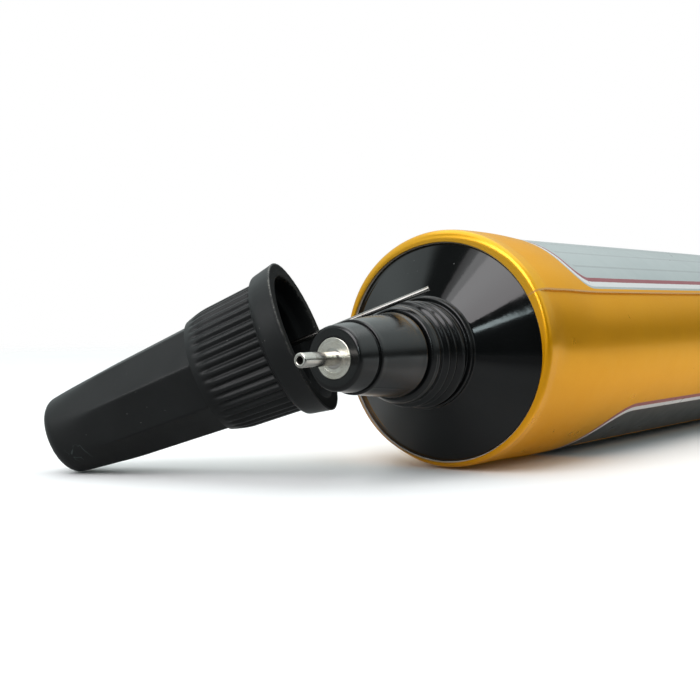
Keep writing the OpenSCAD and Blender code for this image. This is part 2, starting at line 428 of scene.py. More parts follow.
def high(s):
    u = np.clip((s - 84.0) / 57.0, 0, 1)
    g = np.where(u < 0.4, 1.5625 * u * u, 0.25 + 1.25 * (u - 0.4))
    return 2 * R * (1 - g) + 0.9 * g


def half_wide(b):
    q = 1 - b / R
    return R * (1 + (math.pi / 2 - 1) * (1.75 * q - 0.75 * q * q))


COLS = 540
_f = np.arange(COLS) / COLS
_near = SEAM + np.array([-0.0016, -0.0011, -0.0007, -0.00045, -0.00015, 0.0003, 0.0008])
_f = _f[(np.abs(_f - SEAM) > 0.0021) & (np.abs(_f - 1.5 + SEAM) > 0.0021)]
FRAC = np.sort(np.concatenate([_f, _near, 1.5 - _near]))  # the same above and below, so the pressed tail closes


UPWARD = -np.cos(FRAC * TAU)
FARSIDE = np.sin(FRAC * TAU)
BEAD_TOP = 0.55 * smooth(0.1, 0.68, UPWARD) - 0.28 * smooth(0.05, -0.6, UPWARD)  # over and under the round
BEAD_SIDE = 0.26 * smooth(-0.25, 0.15, UPWARD) * (1 - smooth(0.1, 0.68, UPWARD))  # a short ridge on the flanks


def bead(s):
    return float(np.interp(s, [0, 3, 5, 7, 9, 11, 12.5, 14.5, 17], [0.95, 0.985, 0.99, 0.92, 0.78, 0.54, 0.35, 0.14, 0.0]))


def bead_push(s):
    return BEAD_TOP * bead(s) + BEAD_SIDE * (1 - smooth(1.6, 5.2, s))


def section(s, inset):
    """One ring at s, points spaced by true girth; also the outward normals."""
    b = float(high(np.array(s))) / 2
    a = float(half_wide(b))
    flat = float(smooth(SEAL_X - 7.0, SEAL_X - 0.4, s))
    t = np.linspace(0, TAU, 4001)  # from underneath, round +Y, top, -Y
    y = a * np.sin(t)
    c = -np.cos(t)
    z = b * (c * (1 - flat) + np.clip(3.2 * c, -1, 1) * flat)
    run = np.concatenate([[0], np.cumsum(np.hypot(np.diff(y), np.diff(z)))])
    ti = np.interp(FRAC, run / run[-1], t)
    y = a * np.sin(ti)
    c = -np.cos(ti)
    z = b * (c * (1 - flat) + np.clip(3.2 * c, -1, 1) * flat)
    ny = np.sin(ti) / a
    nz = c / b
    ln = np.hypot(ny, nz)
    ny, nz = ny / ln, nz / ln
    return y, z, ny, nz, a, b


def make_sleeve():
    wall = 0.4
    w_mm = FRAC * GIRTH
    seam_gap = (SEAM - FRAC) * GIRTH  # + above the seam, towards the top
    step = np.where(seam_gap > 0.012, 0.26 * np.exp(-np.clip(seam_gap, 0, None) / 5.5), 0.0)
    rim = np.where((seam_gap > 0.012) & (seam_gap < 0.16), 0.0, 1.0)
    rows, along, nose = [], [], []

    def ring(s, d=0.0, outside=True):
        y, z, ny, nz, a, b = section(s, d)
        push = np.zeros_like(y)
        if outside:
            fade = smooth(1.2, 6.0, s) * (1 - smooth(SEAL_X - 9.0, SEAL_X - 2.0, s))
            push = push + step * smooth(0.5, 2.2, s) * (1 - 0.75 * smooth(SEAL_X - 9.0, SEAL_X - 2.0, s))
            push = push - 0.05 * fade * (1 + wavy(w_mm * 0.11, s * 0.055, 2.0))
            # soft puckers that run out of the pressed tail
            env = smooth(100.0, 133.0, s) * (1 - smooth(SEAL_X - 4.0, SEAL_X - 0.3, s))
            folds = 0.5 + 0.5 * np.sin(y * 0.72 + 0.9 + 0.6 * wavy(y * 0.22, s * 0.03, 5.0))
            push = push - 0.34 * env * folds * (0.35 + 0.65 * np.abs(nz))
            push = push + bead_push(s)
            # two shallow squeeze dents
            for ws, ss, dw, ds, amp in ((63.0, 104.0, 7.0, 12.0, 0.42), (36.0, 92.0, 9.0, 10.0, 0.35)):
                push = push - amp * np.exp(-(((w_mm - ws) / dw) ** 2) - ((s - ss) / ds) ** 2)
            # no dent or pucker goes deeper than the wall
            push = np.where(push < 0, -0.25 * np.tanh(-push / 0.25), push)
        pz = -R + b
        yy = y + ny * (push - d)
        zz = pz + z + nz * (push - d)
        if s > SEAL_X - 8.0:
            zz = np.where(np.abs(z) < 1e-9, pz + z, zz)
        if outside and s > SEAL_X - 1.5:
            # pressed ribs of the tail seal, along the tube
            e = smooth(SEAL_X - 0.6, SEAL_X + 0.7, s) * (1 - smooth(TAIL_X - 0.9, TAIL_X - 0.25, s))
            e = e * (1 - smooth(a - 2.6, a - 1.4, np.abs(y)))
            cut = 0.15 * e * (0.5 + 0.5 * np.cos(y * TAU / 1.05)) ** 1.2
            zz = zz - np.sign(c_sign(z)) * cut
        # nothing may sink under the table or stand over the round
        return np.stack([np.full_like(y, s), yy, np.clip(zz, -R, R + 0.545)], -1)

    def c_sign(z):
        return np.where(z > 0.2, 1.0, np.where(z < -0.2, -1.0, 0.0))

    lip_a = math.acos(0.6 / 1.4)
    drawn = 0.14 * smooth(-0.2, 0.6, UPWARD) - 0.24 * smooth(0.15, 0.75, FARSIDE)

    def lip(k):
        """The folded front edge: a tight corner and a flat face above, a plain round underneath."""
        ang = lip_a * k / 12
        x0 = 1.4 - 1.4 * math.sin(ang)
        r0 = 12.7 + 1.4 * math.cos(ang) + bead_push(x0) * (1 - k / 12) - drawn * k / 12
        flat = 0.85 * smooth(0.1, 0.6, FARSIDE) * smooth(0.0, -0.5, UPWARD)
        r0 = r0 * (1 - flat) + ((14.1 + bead_push(1.4)) * (1 - k / 12) + (13.3 - drawn) * k / 12) * flat
        x0 = x0 * (1 - flat) + (1.4 - 1.265 * k / 12) * flat
        steps = [-1.0, -0.6, -0.2, 0.3, 0.77, 0.94, 1.0]
        near = np.interp(UPWARD, steps, [1.2, 1.0, 0.75, 0.62, 0.66, 0.98, 1.2])
        far = np.interp(UPWARD, steps, [1.2, 1.1, 1.02, 1.02, 1.08, 1.17, 1.2])
        rho = np.where(FRAC < 0.5, far, near)
        rc = 14.1 + bead_push(1.0) - rho
        a = math.radians(84.0) * min(k, 8) / 8
        x1, r1 = 0.10 + rho - rho * math.sin(a), rc + rho * math.cos(a)
        if k > 8:
            u = (k - 8) / 4
            x1, r1 = x1 * (1 - u) + 0.135 * u, r1 * (1 - u) + (13.3 - drawn) * u
        m = smooth(-0.62, -0.1, UPWARD)
        x, r = x0 * (1 - m) + x1 * m, r0 * (1 - m) + r1 * m
        t = FRAC * TAU
        return np.stack([x, r * np.sin(t), -r * np.cos(t)], -1), 1.4 - 1.4 * math.sin(ang)

    def lip_back(k):
        ang = lip_a * (1 - k / 6)
        x = 1.4 - math.sin(ang)
        t = FRAC * TAU
        r = 12.7 + math.cos(ang) - drawn * ang / lip_a
        return np.stack([np.full(len(t), x), r * np.sin(t), -r * np.cos(t)], -1), x

    # tail's end face: the two laid-together webs with a hairline between
    y, z, ny, nz, a, b = section(TAIL_X, 0)
    for s, k in ((TAIL_X - 0.35, 0.0), (TAIL_X - 0.3, 0.12), (TAIL_X, 0.3), (TAIL_X, 0.72)):
        rows.append(np.stack([np.full_like(y, s), y, -R + b + z * k], -1))
        along.append(TAIL_X)
    rows.append(np.stack([np.full_like(y, TAIL_X - 0.06), y, -R + b + z * 0.93], -1))
    along.append(TAIL_X)
    marks = np.concatenate(
        [np.linspace(TAIL_X - 0.2, SEAL_X - 1.0, 26), np.linspace(SEAL_X - 1.6, 104.0, 34), np.linspace(102.5, 18.5, 46), np.linspace(17.5, 5.5, 13), [4.6, 3.9, 3.2, 2.6, 2.1, 1.75]]
    )
    for s in marks:
        rows.append(ring(s))
        along.append(s)
    for k in range(13):
        p, x = lip(k)
        rows.append(p)
        along.append(x)
    for k in range(7):
        p, x = lip_back(k)
        rows.append(p)
        along.append(x)
    inner = np.concatenate([[4.0, 8.0, 14.0, 22.0, 32.0, 44.0, 56.0, 70.0], np.linspace(84.0, 139.4, 16)])
    for s in inner:
        y, z, ny, nz, a, b = section(s, wall)
        deep = wall + 0.45 * float(smooth(88.0, 112.0, s))  # clear of the puckers
        k = max(b - deep, 0.05) / b
        rows.append(np.stack([np.full_like(y, s), y * (a - 1.6 * deep) / a, -R + b + z * k], -1))
        along.append(s)
    rows.append(np.stack([np.full_like(y, 139.7), y * (a - 1.6 * deep) / a, np.full_like(y, -R + b)], -1))
    along.append(139.7)
    along = np.array(along)
    global uv_wrap
    uv_wrap = GIRTH / 100
    inside = np.zeros((len(rows), len(FRAC)))
    inside[-(len(inner) + 8):] = 1.0
    cut_edge = np.tile(1.0 - rim, (len(rows), 1)) * (1 - inside)
    tail_end = np.zeros_like(inside)
    tail_end[:4] = 1.0
    return piece(
        "tube_sleeve_print", on_tube(np.array(rows)), "tube", ["tube_sleeve"],
        uv=(FRAC * GIRTH / 100, along / 100), sharp=50.0, weld=True,
        attrs={"inside": inside, "cut_edge": cut_edge, "tail_end": tail_end},
    )


def sleeve_material():
    s = Shade("laminate_gold_lacquer")
    uv = s.new("ShaderNodeUVMap", uv_map="lay").outputs["UV"]
    sep = s.new("ShaderNodeSeparateXYZ")
    s.put(sep.inputs[0], uv)
    w = s.math("MULTIPLY", sep.outputs[0], 100.0)
    x = s.math("MULTIPLY", sep.outputs[1], 100.0)
    jitter = s.math("MULTIPLY", s.math("SUBTRACT", s.noise(2600.0, 2.0), 0.5), 0.09)

    def panel(wc, wh, xc, xh, rad, wv):
        px = s.math("SUBTRACT", s.math("ABSOLUTE", s.math("SUBTRACT", wv, wc)), wh - rad)
        py = s.math("SUBTRACT", s.math("ABSOLUTE", s.math("SUBTRACT", x, xc)), xh - rad)
        qx, qy = s.math("MAXIMUM", px, 0.0), s.math("MAXIMUM", py, 0.0)
        out = s.math("SQRT", s.math("ADD", s.math("MULTIPLY", qx, qx), s.math("MULTIPLY", qy, qy)))
        inn = s.math("MINIMUM", s.math("MAXIMUM", px, py), 0.0)
        return s.math("ADD", s.math("SUBTRACT", s.math("ADD", out, inn), rad), jitter)

    def under(d, edge):
        return s.span(d, edge - 0.03, edge + 0.03, 1.0, 0.0)

    def between(d, a, b):
        return s.math("MULTIPLY", under(d, b), s.math("SUBTRACT", 1.0, under(d, a)))

    # print: a silver panel on top and far side, a dark band underneath
    top = panel(40.1, 18.4, 74.0, 61.5, 4.5, w)
    low = s.math("SUBTRACT", GIRTH / 2, s.math("ABSOLUTE", s.math("SUBTRACT", w, GIRTH / 2)))
    band = panel(0.0, 12.4, 79.0, 57.0, 9.5, low)
    silver = under(top, 0.0)
    rules = s.math("LESS_THAN", s.math("FRACT", s.math("DIVIDE", s.math("ADD", w, 1.3), 3.1)), 0.11)
    rules = s.math("MULTIPLY", rules, under(top, -3.2))
    rim_white = s.math("MAXIMUM", between(top, -1.1, -0.35), between(band, 0.5, 1.15))
    rim_red = s.math("MAXIMUM", between(top, -1.75, -1.1), between(band, 1.15, 1.75))
    dark = under(band, 0.5)
    pin_gold = between(s.math("ABSOLUTE", s.math("SUBTRACT", low, 5.2)), -1.0, 0.32)
    pin_gold = s.math("MULTIPLY", pin_gold, under(band, -3.0))

    big = s.noise(26.0, 3.0)
    streak = s.noise(70.0, 4.0, 0.6, co=s.scaled(0.12, 1.0, 1.0))
    grain = s.noise(5200.0, 2.0, 0.6)
    gold = s.mix(s.span(big, 0.3, 0.7), rgb(0.78, 0.33, 0.002), rgb(0.83, 0.37, 0.003))
    gold = s.mix(s.span(streak, 0.42, 0.7, 0.0, 0.35), gold, rgb(0.68, 0.275, 0.002))
    gold = s.mix(s.span(grain, 0.3, 0.7, 0.0, 0.14), gold, rgb(0.88, 0.46, 0.012))
    painted_lip_sheen = s.math("MULTIPLY", s.span(x, 1.2, 3.0, 0.65, 0.0), s.span(low, GIRTH * 0.25, GIRTH * 0.38))
    gold = s.mix(painted_lip_sheen, gold, rgb(0.66, 0.36, 0.022))  # painted highlight tone: the front edge's upper side is painted a paler, lemon gold
    tint = s.mix(s.span(big, 0.3, 0.7), rgb(0.37, 0.41, 0.41), rgb(0.44, 0.48, 0.475))
    tint = s.mix(s.math("MULTIPLY", rules, 0.55), tint, rgb(0.20, 0.215, 0.22))
    colour = s.mix(silver, gold, tint)
    colour = s.mix(dark, colour, rgb(0.012, 0.012, 0.013))
    colour = s.mix(pin_gold, colour, gold)
    colour = s.mix(rim_white, colour, rgb(0.72, 0.70, 0.70))
    colour = s.mix(rim_red, colour, rgb(0.27, 0.030, 0.045))
    # cut edge of the lapped web, inside and tail's end
    edge = s.math("MAXIMUM", s.attr("cut_edge"), s.attr("tail_end"))
    colour = s.mix(s.math("MULTIPLY", edge, 0.65), colour, rgb(0.30, 0.15, 0.06))
    inside = s.attr("inside")
    colour = s.mix(inside, colour, rgb(0.62, 0.62, 0.60))
    metal = s.mixf(s.math("MAXIMUM", dark, s.math("MAXIMUM", rim_white, rim_red)), 0.66, 0.05)
    metal = s.mixf(silver, metal, s.mixf(rules, 0.55, 0.2))
    metal = s.mixf(s.math("MAXIMUM", edge, inside), metal, 0.0)
    rough = s.span(s.noise(420.0, 4.0), 0.25, 0.75, 0.27, 0.32)
    rough = s.math("ADD", rough, s.span(streak, 0.4, 0.75, 0.0, 0.05))
    print_h = s.math("ADD", silver, dark)
    h = s.math("ADD", s.math("MULTIPLY", grain, 0.5), s.math("MULTIPLY", print_h, 1.2))
    s.set(Base_Color=colour, Metallic=metal, Roughness=rough, Normal=s.bump(h, 0.000004, 0.6))
    s.set(Specular_IOR_Level=s.mixf(dark, 0.35, 0.14), Coat_Weight=s.mixf(dark, s.span(x, 1.0, 3.0, 0.30, 0.07), 0.05))
    s.set(Specular_Tint=s.mix(silver, rgb(1.0, 0.78, 0.25), rgb(1.0, 1.0, 1.0)))
    s.b.inputs["Coat Roughness"].default_value = 0.12
    return s.m


# ---------------------------------------------------------------- shoulder
def thread_height(t, x, start, turns, pitch, foot, top):
    """0..1 height of a helical ridge and its end fade, at angle t and place x."""
    out = np.zeros_like(t)
    a = (t / TAU) % 1.0
    for k in range(int(math.ceil(turns)) + 1):
        n = a + k
        ok = n <= turns
        d = np.abs(x - (start + pitch * n))
        h = 1 - smooth(top / 2 * 0.7, foot / 2 * 1.05, d)
        f = np.minimum(1.0, np.minimum(n / 0.3, (turns - n) / 0.3))
        out = np.where(ok, np.maximum(out, h * np.clip(f, 0, 1)), out)
    return out


def make_shoulder():
    pts = [
        (3.92, -9.8, 0), (3.92, -10.4, 0.12), (5.15, -10.4, 0.28), (5.45, -9.95, 0.15), (5.45, -4.2, 0.12),
        (6.55, -4.2, 0.16), (6.55, -3.42, 0.32), (13.16, 0.535, 0.04), (13.12, 0.70, 0.0),
    ]
    front = fillet(pts, 6)
    arc = [(12.7 + 0.92 * math.cos(math.radians(a)), 1.45 + 0.92 * math.sin(math.radians(a))) for a in np.linspace(-38, 0, 6)]
    back = fillet([(13.64, 1.6, 0), (13.64, 7.0, 0.15), (12.74, 7.0, 0.15), (12.54, 2.3, 0.4), (5.5, -2.45, 0.3), (3.92, -3.2, 0.1), (3.92, -9.6, 0)], 3)
    prof = np.vstack([refine(front, 0.11), arc, refine(back, 1.5)])

    def move(r, x, t):
        neck = (r > 5.3) & (r < 5.6) & (x > -10.2) & (x < -4.1)
        h = thread_height(t + math.pi / 2, x, -9.35, 3.4, 1.5, 1.15, 0.3)
        r = np.where(neck, r + 0.10 * smooth(-9.9, -9.5, x) + 0.55 * h, r)
        r = np.where(neck, r + 0.40 * smooth(-5.4, -4.5, x), r)
        # its rim follows the folded edge on the far side
        r = np.where((r > 12.6) & (x < 0.75), r + 0.20 * smooth(12.6, 13.1, r) * smooth(0.15, 0.75, np.cos(t)), r)
        # the moulding's faint flow waves and parting line on the face
        face = (r > 6.9) & (x > -3.4) & (x < 0.3)
        sag = 0.004 * wavy(r * 0.9, t * 2.0, 3.0) + 0.004 * np.sin(3 * t + 0.8)
        x = np.where(face, x + sag * smooth(6.9, 8.0, r) * smooth(13.0, 12.2, r), x)
        return r, x

    neck = np.array([[1.0 if r < 6.62 and x < -3.3 else 0.0] * 288 for r, x in prof])
    return piece("shoulder_moulding", turned(prof, 288, tube_place, move), "tube", ["shoulder"], loop=True, sharp=40.0, attrs={"matt": neck})


# ------------------------------------------------------------------ nozzle
def make_nozzle():
    pts = [
        (2.245, -21.4, 0), (2.245, -21.98, 0.05), (3.52, -22.0, 0.42), (3.82, -19.05, 0.1), (3.70, -18.82, 0.06),
        (3.70, -18.66, 0.04), (4.08, -18.66, 0.14), (4.85, -10.8, 0.22), (4.5, -10.53, 0.1), (3.89, -10.53, 0),
    ]
    front = refine(fillet(pts, 7), 0.25)
    back = refine(fillet([(3.89, -10.4, 0), (3.89, -3.6, 0.2), (1.62, -3.5, 0.1), (1.62, -15.6, 0), (1.53, -15.6, 0), (1.53, -19.4, 0), (2.245, -19.4, 0), (2.245, -21.2, 0)], 3), 2.0)
    prof = np.vstack([front, back])

    def move(r, x, t):
        body = (r > 4.0) & (x > -18.4) & (x < -11.2)
        sag = 0.012 * np.sin(2 * t + 0.4) + 0.008 * wavy(x * 0.8, t * 2.0, 7.0)
        # a faint mould parting line along two sides
        fin = 0.022 * (np.exp(-((np.sin(t - 0.9) / 0.022) ** 2)))
        return np.where(body, r + (sag + fin - 0.03) * smooth(-18.4, -18.0, x) * smooth(-11.2, -11.6, x), r), x

    return piece("nozzle_barrel", turned(prof, 300, tube_place, move), "tube", ["nozzle"], loop=True, sharp=38.0)


# -------------------------------------------------------- ferrule, needle
def make_ferrule():
    face = np.stack([np.linspace(1.13, 2.04, 64), np.full(64, -22.06)], -1)
    tail = fillet([(2.06, -22.06, 0), (2.22, -22.06, 0.1), (2.22, -19.42, 0.1), (1.5, -19.42, 0.05), (1.5, -15.7, 0.1), (1.12, -15.7, 0.04), (1.12, -22.02, 0)], 5)
    prof = np.vstack([face, refine(tail, 0.8)])

    def move(r, x, t):
        f = (x < -22.055) & (r > 1.12) & (r < 2.05)
        groove = 0.0032 * (1 + np.sin(r * TAU / 0.118 + 0.3 * np.sin(t + 1))) + 0.010 * smooth(1.62, 1.2, r)
        groove = groove + 0.008 * np.exp(-(((r - 1.84) / 0.03) ** 2)) + 0.006 * np.exp(-(((r - 1.46) / 0.03) ** 2))
        return r, np.where(f, x + groove, x)

    return piece("needle_ferrule", turned(prof, 192, tube_place, move), "tube", ["ferrule"], loop=True, sharp=42.0)


def make_needle():
    out = fillet([(0.42, -27.6, 0), (0.42, -27.9, 0.10), (0.80, -27.9, 0.19), (0.80, -22.07, 0), (1.10, -22.05, 0.02), (1.10, -15.7, 0.05), (0.4, -15.7, 0.05), (0.4, -27.5, 0)], 7)
    prof = refine(out, 0.35)

    def move(r, x, t):
        body = (r > 0.78) & (r < 0.82) & (x > -27.5) & (x < -22.3)
        neck = 0.022 * smooth(-25.2, -23.6, x) * (1 - smooth(-23.2, -22.4, x))
        return np.where(body, r - neck - 0.004 * (1 + np.sin(3 * t + x * 2.2)), r), x

    rings = turned(prof, 128, tube_place, move)
    # painted shade: marks the inner wall of the needle's bore, which its material paints near black
    bore = np.array([[1.0 if r < 0.425 and x > -27.83 else 0.0] * 128 for r, x in prof])
    return piece("needle_tube", rings, "tube", ["needle"], loop=True, sharp=45.0, attrs={"bore": bore})


def make_pin():
    rows = [(0.27, -1.45), (0.315, -1.4)] + [(0.325, z) for z in np.linspace(-1.2, 43.05, 90)] + [(0.32, 43.2), (0.3, 43.27), (0.25, 43.3)]

    def move(r, z, t):
        k = (z > 0) & (z < 43.0)
        return np.where(k, r - 0.004 * (1 + wavy(z * 0.8, t * 2, 4.0)) - 0.003 * (1 + np.sin(9 * t + 0.3 * z)), r), z

    rings = turned(rows, 72, pin_place, move)
    return piece("cap_pin_wire", rings, "pin", ["cap_pin"], start=on_pin([0, 0, -1.45]), end=on_pin([0.02, 0, 43.292]), sharp=40.0)


# --------------------------------------------------------------------- cap
RIBS = 41
CAP_TOP = math.atan2(CAP_ROT[2, 1], CAP_ROT[2, 0])  # the side that lies uppermost


def make_cap():
    n = 738
    t = np.arange(n) * TAU / n
    face = np.arange(8) * TAU / 8 + TAU / 16
    lobes = np.clip(np.cos(t[:, None] - face[None, :]), 0, None)
    octo = 1.0 / (lobes ** 90).sum(1) ** (1 / 90)  # apothem 1, corners softened
    # painted highlight: the light worn flecks on the rim are weighted to the side that lies uppermost, where the light
    # falls
    sheen_on_upper_side = 0.22 + 0.78 * smooth(-0.35, 0.75, np.cos(t - CAP_TOP + 0.35))
    rows, wear_and_sheen, scuff, matt = [], [], [], []

    inner = False

    def add(r, z, w=0.0):
        rows.append(np.stack([r * np.cos(t), r * np.sin(t), np.broadcast_to(z, r.shape)], -1))
        wear_and_sheen.append(w * sheen_on_upper_side)
        matt.append(np.full(n, 1.0 if inner else 0.0))
        turn = np.angle(np.exp(1j * (t - math.radians(272))))
        scuff.append(np.exp(-((turn / 0.22) ** 4)) * math.exp(-(((float(np.mean(z)) + 28.9) / 1.1) ** 4)))

    def body_r(z):
        k = (z + 32.3) / 20.85
        return (5.15 + 1.55 * k) * math.cos(math.pi / 8) * octo

    def joined(a, b, q):
        return (a ** -q + b ** -q) ** (-1 / q)

    # closed end: gate mark, low dome, round
    for r, dz in ((0.2, 0.03), (0.42, 0.04), (0.50, 0.14), (0.62, 0.16), (1.1, 0.155), (1.26, 0.08), (1.42, 0.065), (1.9, 0.08), (2.5, 0.10), (2.9, 0.114)):
        add(np.full(n, r), -32.3 + dz)
    for a in np.radians(np.linspace(-84, -10, 24)):
        z = -30.4 + 1.79 * math.sin(a)
        add(joined(body_r(z), np.full(n, 2.95 + 1.79 * math.cos(a)), 40.0), z)
    z0 = -30.4 + 1.79 * math.sin(math.radians(-10))
    for z in np.linspace(z0 + 0.12, -12.05, 50):
        rr = np.full(n, 4.713 + 2.987 * (z - z0) / (-10.85 - z0))
        f = smooth(-26.5, -22.0, z)
        o = body_r(z)
        add(joined(o, rr, 40.0) * (1 - f) + o * f, z)
    # root of the body at the collar
    last = body_r(-11.95)
    add(last * 1.002, -11.93)
    add(last * 1.005, -11.87)
    for k in (0.3, 0.65, 1.0):
        add(last * 1.006 * (1 - k) + 6.7 * k, -11.85)

    # collar: a slightly tapered grip whose grooves run out on its rounded far end
    def groove(z):
        lobe = (0.5 + 0.5 * np.cos(RIBS * (t - math.radians(183.0)))) ** 1.5
        ends = smooth(-11.4, -9.8, z) * (1 - smooth(-3.30, -3.18, z))
        return 0.36 * ends * (0.8 + 0.2 * smooth(-10.0, -5.0, z)) * lobe

    for a in np.radians(np.linspace(84, 2, 20)):
        z = -9.3 - 2.55 * math.sin(a)
        add(7.35 - 0.60 * math.sin(a) ** 1.4 - groove(z), z)
    for z in np.concatenate([np.linspace(-9.1, -3.6, 16), [-3.42, -3.32, -3.27, -3.22, -3.17, -3.12]]):
        add(7.35 + 0.40 * (z + 9.3) / 6.05 - groove(z), z)
    # flange: fillet at its foot, flared band, crisp worn edge whose light flecks are weighted to the upper side as a
    # painted highlight
    for r, z in ((7.80, -3.07), (7.90, -3.02), (8.08, -2.98), (8.26, -2.90), (8.40, -2.76), (8.49, -2.58), (8.55, -2.34), (8.62, -2.0),
                 (8.71, -1.55), (8.80, -1.1), (8.89, -0.65), (8.96, -0.32)):
        add(np.full(n, r), z)
    nick = wavy(t * 33.0, 0.0, 1.0)
    add(9.0 + 0.008 * nick, -0.19 + 0 * t, 0.15)
    add(9.018 + 0.014 * nick, -0.115 + 0 * t, 0.85)
    add(9.01 + 0.014 * nick, -0.055 + 0.012 * nick, 1.0)
    add(8.965 + 0.012 * nick, -0.022 + 0.014 * nick, 0.8)
    add(8.90 + 0 * t, -0.012 + 0 * t, 0.1)
    # rim face, then the mouth
    inner = True
    for r, z in ((8.75, -0.014), (8.3, -0.03), (7.9, -0.035), (7.66, -0.03)):
        add(np.full(n, r), z)
    chip = wavy(t * 41.0, 2.0, 6.0)
    add(7.565 + 0.012 * chip, -0.035 + 0 * t, 0.05)
    add(7.52 + 0.014 * chip, -0.05 + 0.012 * chip, 0.3)
    add(7.47 + 0.012 * chip, -0.10 + 0.014 * chip, 0.3)
    add(7.42 + 0 * t, -0.19 + 0 * t, 0.1)
    add(7.36 + 0 * t, -0.34 + 0 * t, 0.0)
    for r, z in ((7.30, -0.55), (7.26, -1.0), (7.21, -1.5), (7.15, -1.72), (6.9, -1.9), (6.55, -2.08), (6.38, -2.2)):
        add(np.full(n, r), z)
    for z in np.linspace(-2.35, -8.6, 64):
        h = thread_height(t, np.full(n, z), -7.6, 3.0, 1.5, 1.0, 0.4)
        add(6.35 - 0.58 * h, z)
    for r, z in ((5.9, -8.78), (5.3, -9.02), (5.15, -9.15), (5.0, -11.5), (4.8, -14.0), (4.62, -17.3), (4.5, -17.45), (4.25, -17.6),
                 (4.2, -18.8), (4.15, -20.0), (3.9, -20.15), (2.0, -20.35), (1.4, -20.4), (1.34, -20.6), (1.3, -23.5), (1.25, -26.4),
                 (1.1, -26.5), (0.5, -26.5), (0.41, -26.56), (0.40, -29.45)):
        add(np.full(n, r), z)
    return piece(
        "cap_shell", on_cap(np.array(rows)), "cap", ["cap"], start=on_cap([0, 0, -32.27]), end=on_cap([0, 0, -29.5]),
        sharp=52.0, attrs={"wear_and_sheen": np.array(wear_and_sheen), "scuff": np.array(scuff), "matt": np.array(matt)},
    )


# ------------------------------------------------------------- metal looks
def ferrule_material():
    s = Shade("ferrule_turned_metal")
    tarnish = s.noise(900.0, 4.0, 0.6)
    tone = s.mix(s.span(tarnish, 0.35, 0.7), rgb(0.80, 0.775, 0.70), rgb(0.68, 0.645, 0.555))
    spot = s.specks(2600.0, 0.2, 0.06)
    tone = s.mix(s.math("MULTIPLY", spot, 0.6), tone, rgb(0.16, 0.13, 0.09))
    r = s.span(s.noise(2200.0, 3.0), 0.3, 0.7, 0.16, 0.27)
    s.set(Base_Color=tone, Roughness=r, Normal=s.bump(s.noise(9000.0, 2.0), 0.000003, 0.5))
    s.b.inputs["Metallic"].default_value = 1.0
    return s.m


def needle_material():
    s = Shade("needle_bright_steel")
    bore = s.attr("bore")
    draw = s.noise(700.0, 4.0, 0.6, co=s.scaled(0.08, 1.0, 1.0))
    tone = s.mix(s.span(draw, 0.35, 0.7), rgb(0.66, 0.64, 0.60), rgb(0.52, 0.49, 0.44))
    tone = s.mix(s.span(s.noise(1300.0, 3.0), 0.62, 0.7, 0.0, 0.4), tone, rgb(0.26, 0.21, 0.15))
    # painted shade: the bore's inner wall is painted near black, not metal and rough, for the shade down the hole
    tone = s.mix(bore, tone, rgb(0.012, 0.010, 0.008))
    r = s.math("ADD", s.span(draw, 0.3, 0.7, 0.13, 0.24), s.math("MULTIPLY", bore, 0.4))
    s.set(Base_Color=tone, Roughness=r, Metallic=s.math("SUBTRACT", 1.0, bore), Normal=s.bump(draw, 0.000004, 0.5))
    return s.m


def pin_material():
    s = Shade("pin_drawn_steel")
    along = tuple(CAP_ROT @ np.array([0, 0, 1.0]))
    turn = Vector(along).rotation_difference(Vector((1, 0, 0))).to_euler()
    lines = s.noise(2600.0, 3.0, 0.6, co=s.scaled(0.05, 1.0, 1.0, co=s.scaled(1, 1, 1, tuple(turn))))
    tone = s.mix(s.span(lines, 0.3, 0.7), rgb(0.25, 0.245, 0.235), rgb(0.14, 0.135, 0.125))
    tone = s.mix(s.span(s.noise(900.0, 4.0, 0.65), 0.57, 0.68, 0.0, 0.65), tone, rgb(0.13, 0.11, 0.085))
    r = s.span(lines, 0.3, 0.7, 0.12, 0.22)
    s.set(Base_Color=tone, Roughness=r, Normal=s.bump(lines, 0.000006, 0.6))
    s.b.inputs["Metallic"].default_value = 1.0
    return s.m


def glue_material():
    s = Shade("glue_clear_amber")
    cloud = s.noise(90.0, 4.0)
    tone = s.mix(s.span(cloud, 0.3, 0.7), rgb(0.78, 0.70, 0.46), rgb(0.66, 0.54, 0.30))
    bubble = s.specks(260.0, 0.22, 0.3)
    tone = s.mix(s.math("MULTIPLY", bubble, 0.5), tone, rgb(0.9, 0.86, 0.72))
    r = s.span(s.noise(200.0, 3.0), 0.3, 0.7, 0.08, 0.22)
    s.set(Base_Color=tone, Roughness=r, Normal=s.bump(cloud, 0.0002, 0.4))
    s.b.inputs["Subsurface Weight"].default_value = 0.25
    s.b.inputs["Subsurface Radius"].default_value = (0.003, 0.002, 0.001)
    return s.m


def barrier_material():
    s = Shade("barrier_ivory_resin")
    cloud = s.noise(220.0, 4.0)
    tone = s.mix(s.span(cloud, 0.3, 0.7), rgb(0.72, 0.70, 0.62), rgb(0.62, 0.59, 0.50))
    r = s.span(s.noise(600.0, 3.0), 0.3, 0.7, 0.32, 0.48)
    s.set(Base_Color=tone, Roughness=r, Normal=s.bump(s.noise(2400.0, 3.0), 0.00001, 0.5))
    return s.m


def dress(obj, mat):
    obj.data.materials.clear()
    obj.data.materials.append(mat)


